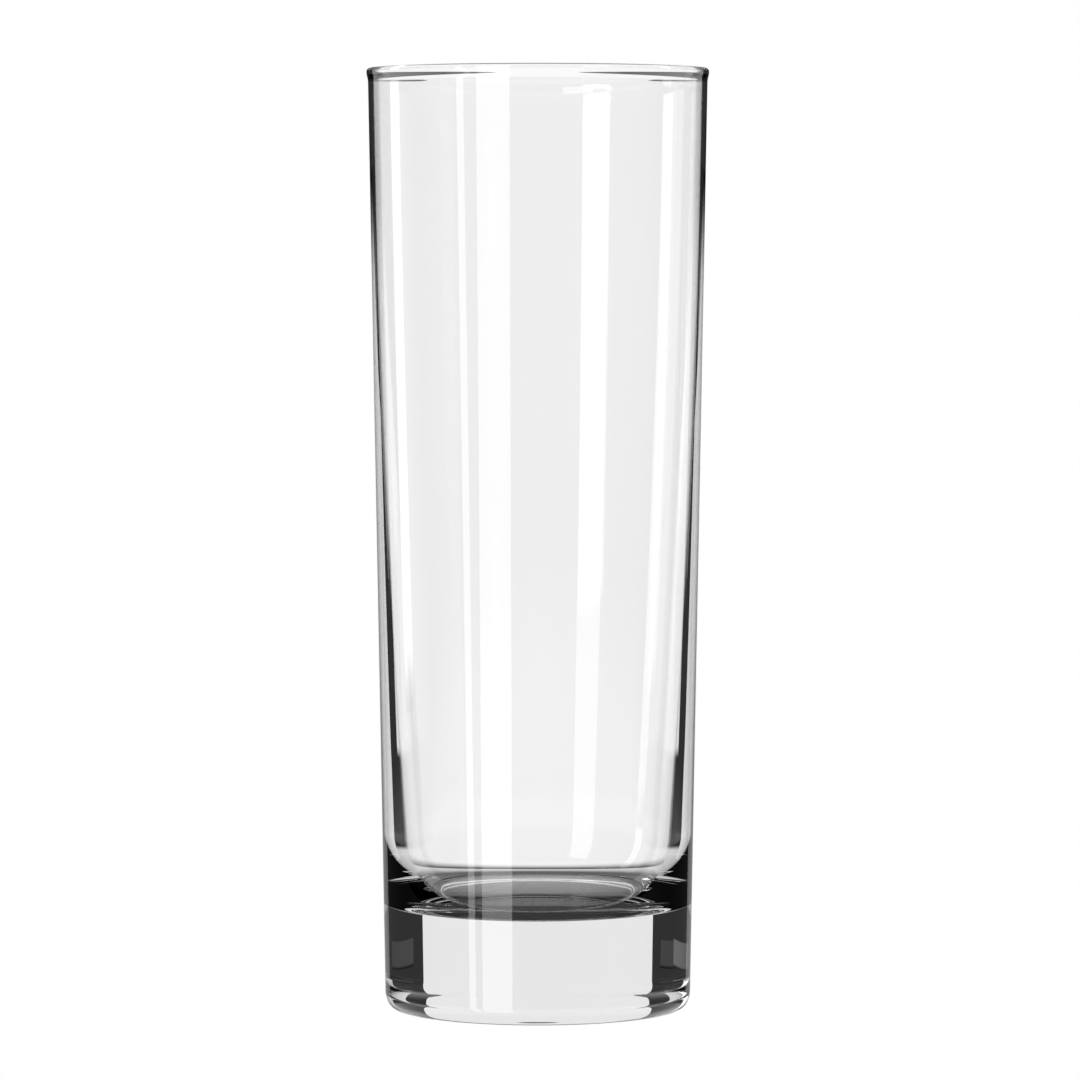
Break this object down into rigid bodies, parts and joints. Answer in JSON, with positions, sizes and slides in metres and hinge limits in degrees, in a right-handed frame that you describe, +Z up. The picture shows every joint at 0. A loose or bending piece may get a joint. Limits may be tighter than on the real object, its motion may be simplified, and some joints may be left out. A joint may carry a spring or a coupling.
{
  "type": "highball glass",
  "caption": "Tall clear highball glass with gently tapered sides, a beaded rim, a thick solid base and a hollow foot ring.",
  "frame": {"origin": "centre of the foot ring, on the surface that the glass stands on", "axes": "+Z up along the glass's axis, towards the rim; X and Y are alike, because the glass is round"},
  "size_m": [0.06, 0.06, 0.165],
  "materials": {
    "clear_glass": "fire-polished, colourless"
  },
  "bodies": {
    "root": {"tumbler": "clear_glass"}
  },
  "joints": []
}
